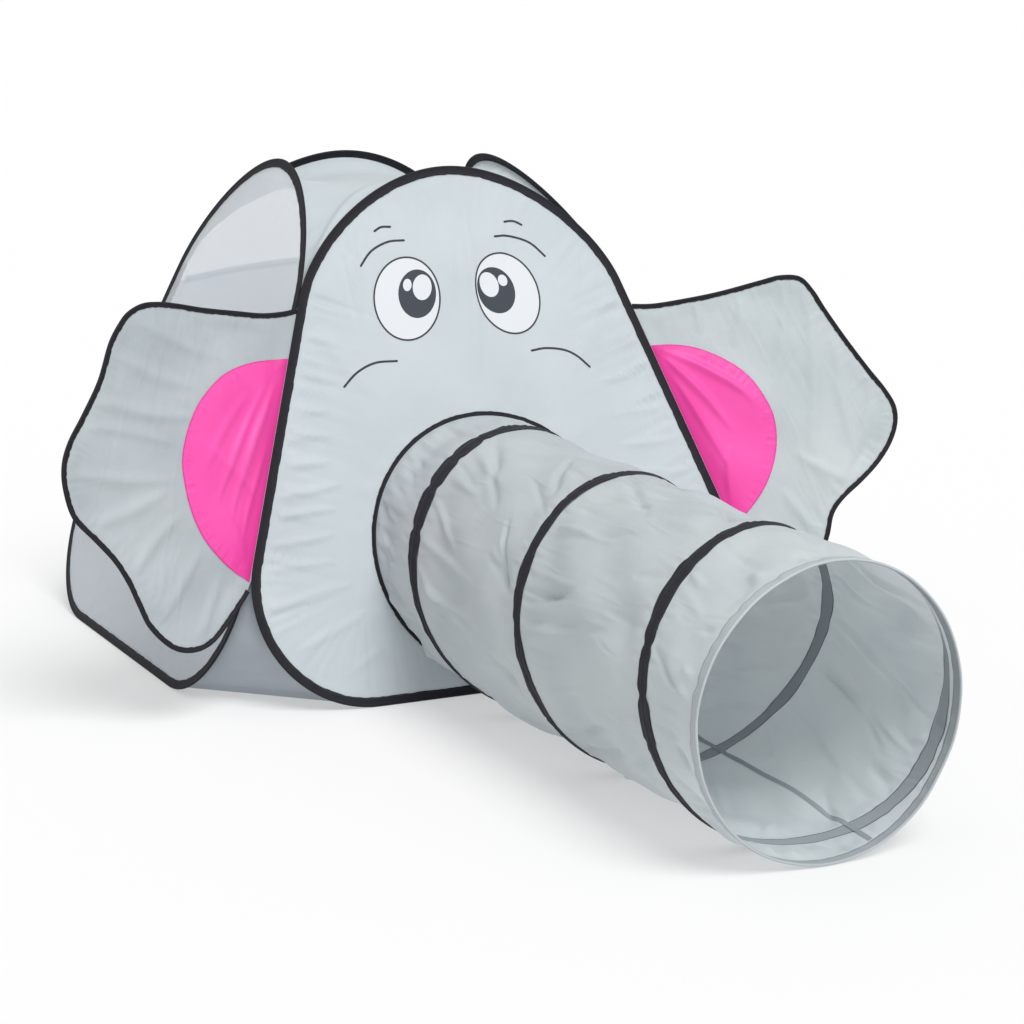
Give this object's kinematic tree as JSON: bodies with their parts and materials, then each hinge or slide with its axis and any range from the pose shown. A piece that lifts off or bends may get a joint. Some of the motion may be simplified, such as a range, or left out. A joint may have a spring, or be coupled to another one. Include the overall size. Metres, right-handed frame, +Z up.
{
  "type": "play tent with tunnel",
  "caption": "Pop-up play tent on spring-wire hoops with a round crawl tunnel for a trunk, wired ears, mesh windows and a leaning face panel.",
  "frame": {"origin": "on the ground under the middle of the tent's square base", "axes": "+X to the viewer's right, +Y from the tunnel mouth towards the back of the tent, +Z up"},
  "size_m": [1.7116, 2.2657, 0.9448],
  "materials": {
    "grey_taffeta": "thin woven polyester taffeta, light grey, soft satin sheen",
    "pink_taffeta": "thin woven polyester taffeta, bright pink",
    "white_mesh": "fine knitted see-through mesh, white",
    "black_binding_tape": "folded woven tape, black, matt",
    "zinc_spring_wire": "zinc-coated spring wire, round"
  },
  "bodies": {
    "tent": {"face_panel": "grey_taffeta", "back_panel": "grey_taffeta", "back_hem": "grey_taffeta", "roof_cloth": "grey_taffeta", "corner_gusset_front_left": "grey_taffeta", "corner_gusset_front_right": "grey_taffeta", "corner_gusset_back_right": "grey_taffeta", "corner_gusset_back_left": "grey_taffeta", "floor_sheet": "grey_taffeta", "tunnel_cloth": "grey_taffeta", "tunnel_seam_tape": "grey_taffeta", "side_mesh_left": "white_mesh", "side_mesh_right": "white_mesh", "back_mesh": "white_mesh", "binding_front": "black_binding_tape", "binding_right": "black_binding_tape", "binding_back": "black_binding_tape", "binding_left": "black_binding_tape", "opening_binding": "black_binding_tape", "tunnel_spiral_tape": "black_binding_tape", "hoop_wire_front": "zinc_spring_wire", "hoop_wire_right": "zinc_spring_wire", "hoop_wire_back": "zinc_spring_wire", "hoop_wire_left": "zinc_spring_wire", "opening_wire": "zinc_spring_wire", "tunnel_coil_wire": "zinc_spring_wire"},
    "tunnel_mouth": {"mouth_hem": "grey_taffeta", "mouth_wire": "zinc_spring_wire"},
    "ear_left": {"ear_left_cloth": "grey_taffeta", "ear_left_lining": "pink_taffeta", "ear_left_wire": "zinc_spring_wire", "ear_left_binding": "black_binding_tape"},
    "ear_right": {"ear_right_cloth": "grey_taffeta", "ear_right_lining": "pink_taffeta", "ear_right_wire": "zinc_spring_wire", "ear_right_binding": "black_binding_tape"}
  },
  "joints": [
    {"name": "tunnel_fold", "type": "slide", "parent": "tent", "child": "tunnel_mouth", "axis": [0, 1, 0], "range_m": [0, 1.02], "deforming": ["tunnel_cloth", "tunnel_coil_wire", "tunnel_spiral_tape", "tunnel_seam_tape"]},
    {"name": "ear_left_swing", "type": "hinge", "parent": "tent", "child": "ear_left", "pos_m": [-0.58508, -0.5875, 0], "axis": [0.3124, 0.3124, 0.8971], "range_deg": [-40, 75]},
    {"name": "ear_right_swing", "type": "hinge", "parent": "tent", "child": "ear_right", "pos_m": [0.58508, -0.5875, 0], "axis": [-0.3124, 0.3124, 0.8971], "range_deg": [-75, 40]}
  ]
}
